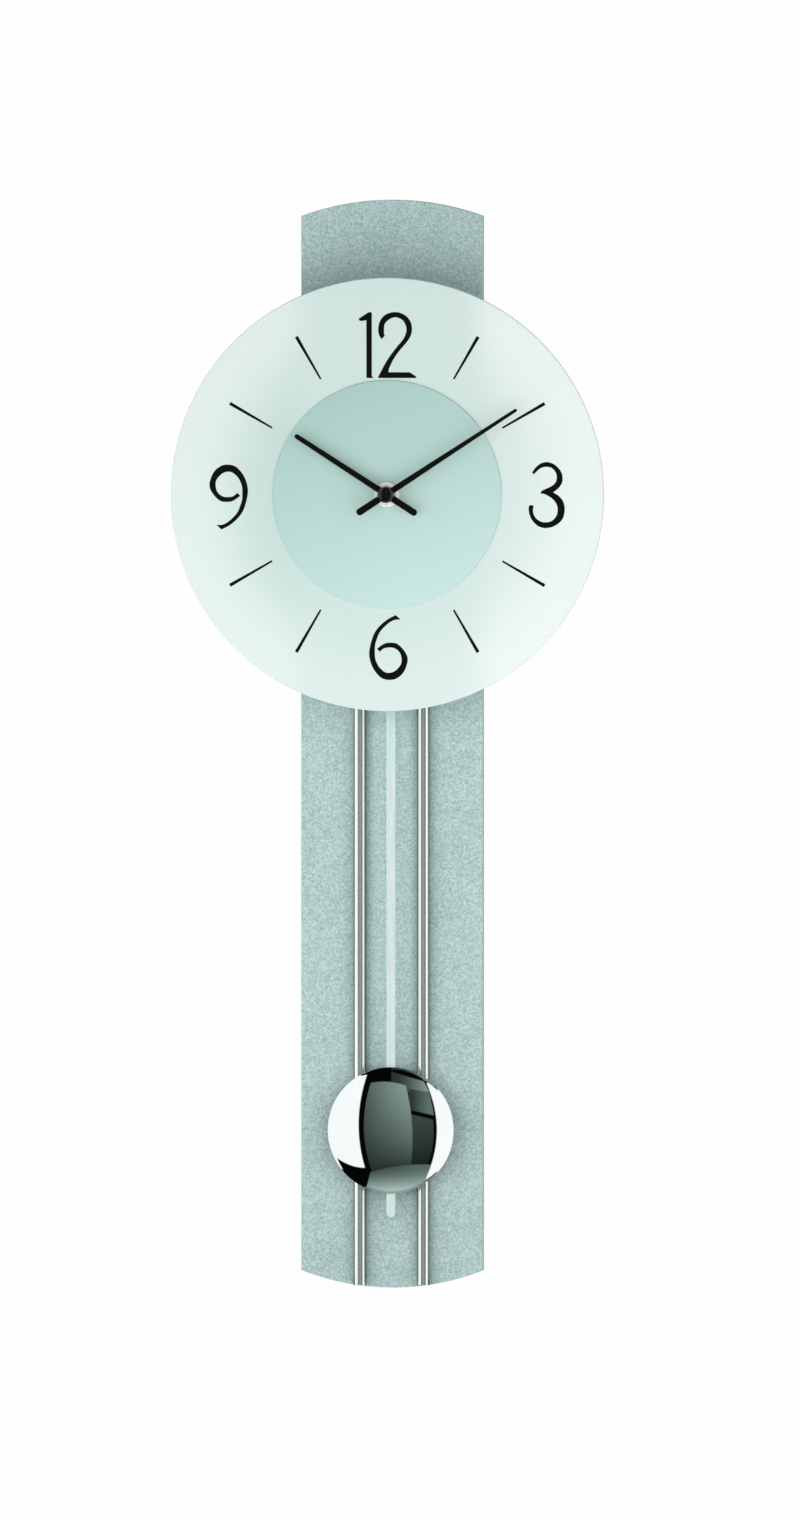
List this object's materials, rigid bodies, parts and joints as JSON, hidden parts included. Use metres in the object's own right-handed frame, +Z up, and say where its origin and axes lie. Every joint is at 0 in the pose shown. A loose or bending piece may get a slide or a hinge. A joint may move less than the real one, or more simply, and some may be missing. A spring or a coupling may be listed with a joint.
{
  "type": "pendulum wall clock",
  "caption": "Tall lacquered panel with two chromed rods, a round frosted glass dial in front, black bar hands and a swinging chromed bob on a flat strip.",
  "frame": {"origin": "a point on the back face of the hanger plate, on the clock's middle line 140 mm above the dial's axis, in the plane that touches the wall", "axes": "+Z up along the panel, +Y out of the clock's back into the wall, +X to the right of a person who faces the dial"},
  "size_m": [0.27, 0.0795, 0.68],
  "materials": {
    "panel_lacquer": "silver-green metallic lacquer on fibreboard",
    "steel": "zinc-plated",
    "chrome": "polished",
    "case_plastic": "black, moulded",
    "wheel_plastic": "natural, moulded",
    "magnet": "sintered magnet",
    "copper": "enamelled copper wire",
    "board": "green solder mask",
    "battery_jacket": "plain blue jacket",
    "brass": "satin",
    "rubber": "matt",
    "dial_glass": "frosted, pale green, polished edge",
    "disc_mint": "satin mint",
    "strip_satin": "satin",
    "hand_black": "black, satin"
  },
  "bodies": {
    "frame": {"back_panel": "panel_lacquer", "hanger_plate": "steel", "hanger_screw_left": "steel", "hanger_screw_right": "steel", "trim_rod_left": "chrome", "trim_rod_right": "chrome", "rod_screw_left_upper": "steel", "rod_screw_left_lower": "steel", "rod_screw_right_upper": "steel", "rod_screw_right_lower": "steel", "pillar_left_upper": "steel", "pillar_left_lower": "steel", "pillar_right_upper": "steel", "pillar_right_lower": "steel", "pillar_screw_left_upper": "steel", "pillar_screw_left_lower": "steel", "pillar_screw_right_upper": "steel", "pillar_screw_right_lower": "steel", "mounting_plate": "steel", "plate_screw_left_upper": "steel", "plate_screw_left_lower": "steel", "plate_screw_right_upper": "steel", "plate_screw_right_lower": "steel", "movement_rear_case": "case_plastic", "movement_front_case": "case_plastic", "battery": "battery_jacket", "battery_contact": "steel", "battery_spring": "steel", "circuit_board": "board", "stepper_coil": "copper", "stator": "steel", "pendulum_drive_coil": "copper", "threaded_bush": "brass", "rubber_washer": "rubber", "dial_glass": "dial_glass", "centre_disc": "disc_mint", "front_washer": "steel", "round_nut": "brass", "pendulum_pivot_pin": "steel"},
    "minute_work": {"minute_arbor": "steel", "minute_hand": "hand_black", "hand_cap": "hand_black"},
    "hour_work": {"hour_wheel": "wheel_plastic", "hour_hand": "hand_black"},
    "motion_work": {"motion_wheel": "wheel_plastic"},
    "knob": {"setting_knob": "case_plastic"},
    "rotor_body": {"rotor": "magnet"},
    "intermediate_body": {"intermediate_wheel": "wheel_plastic"},
    "second_body": {"second_wheel": "wheel_plastic"},
    "third_body": {"third_wheel": "wheel_plastic"},
    "centre_body": {"centre_wheel": "wheel_plastic"},
    "pendulum": {"pendulum_arm": "case_plastic", "pendulum_magnet": "magnet", "pendulum_rod": "strip_satin", "bob_shell": "chrome", "bob_back_plate": "steel", "bob_clip": "steel"}
  },
  "joints": [
    {"name": "pendulum_swing", "type": "hinge", "parent": "frame", "child": "pendulum", "pos_m": [0, -0.0247, -0.156], "axis": [0, 1, 0], "range_deg": [-4.5, 4.5]},
    {"name": "minute_hand_turn", "type": "hinge", "parent": "frame", "child": "minute_work", "pos_m": [0, -0.05, -0.14], "axis": [0, 1, 0], "continuous": true},
    {"name": "hour_hand_turn", "type": "hinge", "parent": "frame", "child": "hour_work", "pos_m": [0, -0.05, -0.14], "axis": [0, 1, 0], "continuous": true},
    {"name": "motion_wheel_turn", "type": "hinge", "parent": "frame", "child": "motion_work", "pos_m": [-0.00641, -0.0456, -0.13359], "axis": [0, 1, 0], "continuous": true},
    {"name": "setting_knob_turn", "type": "hinge", "parent": "frame", "child": "knob", "pos_m": [-0.0095, -0.0245, -0.12508], "axis": [0, 1, 0], "continuous": true},
    {"name": "rotor_spin", "type": "hinge", "parent": "frame", "child": "rotor_body", "pos_m": [0.01905, -0.038, -0.14749], "axis": [0, 1, 0], "continuous": true},
    {"name": "intermediate_wheel_turn", "type": "hinge", "parent": "frame", "child": "intermediate_body", "pos_m": [0.02052, -0.0338, -0.13916], "axis": [0, 1, 0], "continuous": true},
    {"name": "second_wheel_turn", "type": "hinge", "parent": "frame", "child": "second_body", "pos_m": [0.01554, -0.0366, -0.13053], "axis": [0, 1, 0], "continuous": true},
    {"name": "third_wheel_turn", "type": "hinge", "parent": "frame", "child": "third_body", "pos_m": [0.00418, -0.0396, -0.12853], "axis": [0, 1, 0], "continuous": true},
    {"name": "centre_wheel_turn", "type": "hinge", "parent": "frame", "child": "centre_body", "pos_m": [0, -0.0426, -0.14], "axis": [0, 1, 0], "continuous": true}
  ],
  "couplings": [
    {"joint": "hour_hand_turn", "follows": "minute_hand_turn", "ratio": 0.083333},
    {"joint": "motion_wheel_turn", "follows": "minute_hand_turn", "ratio": -0.33333},
    {"joint": "setting_knob_turn", "follows": "minute_hand_turn", "ratio": 1},
    {"joint": "intermediate_wheel_turn", "follows": "rotor_spin", "ratio": -0.16667},
    {"joint": "second_wheel_turn", "follows": "rotor_spin", "ratio": 0.033333},
    {"joint": "third_wheel_turn", "follows": "rotor_spin", "ratio": -0.0044444},
    {"joint": "centre_wheel_turn", "follows": "rotor_spin", "ratio": 0.00055556}
  ]
}
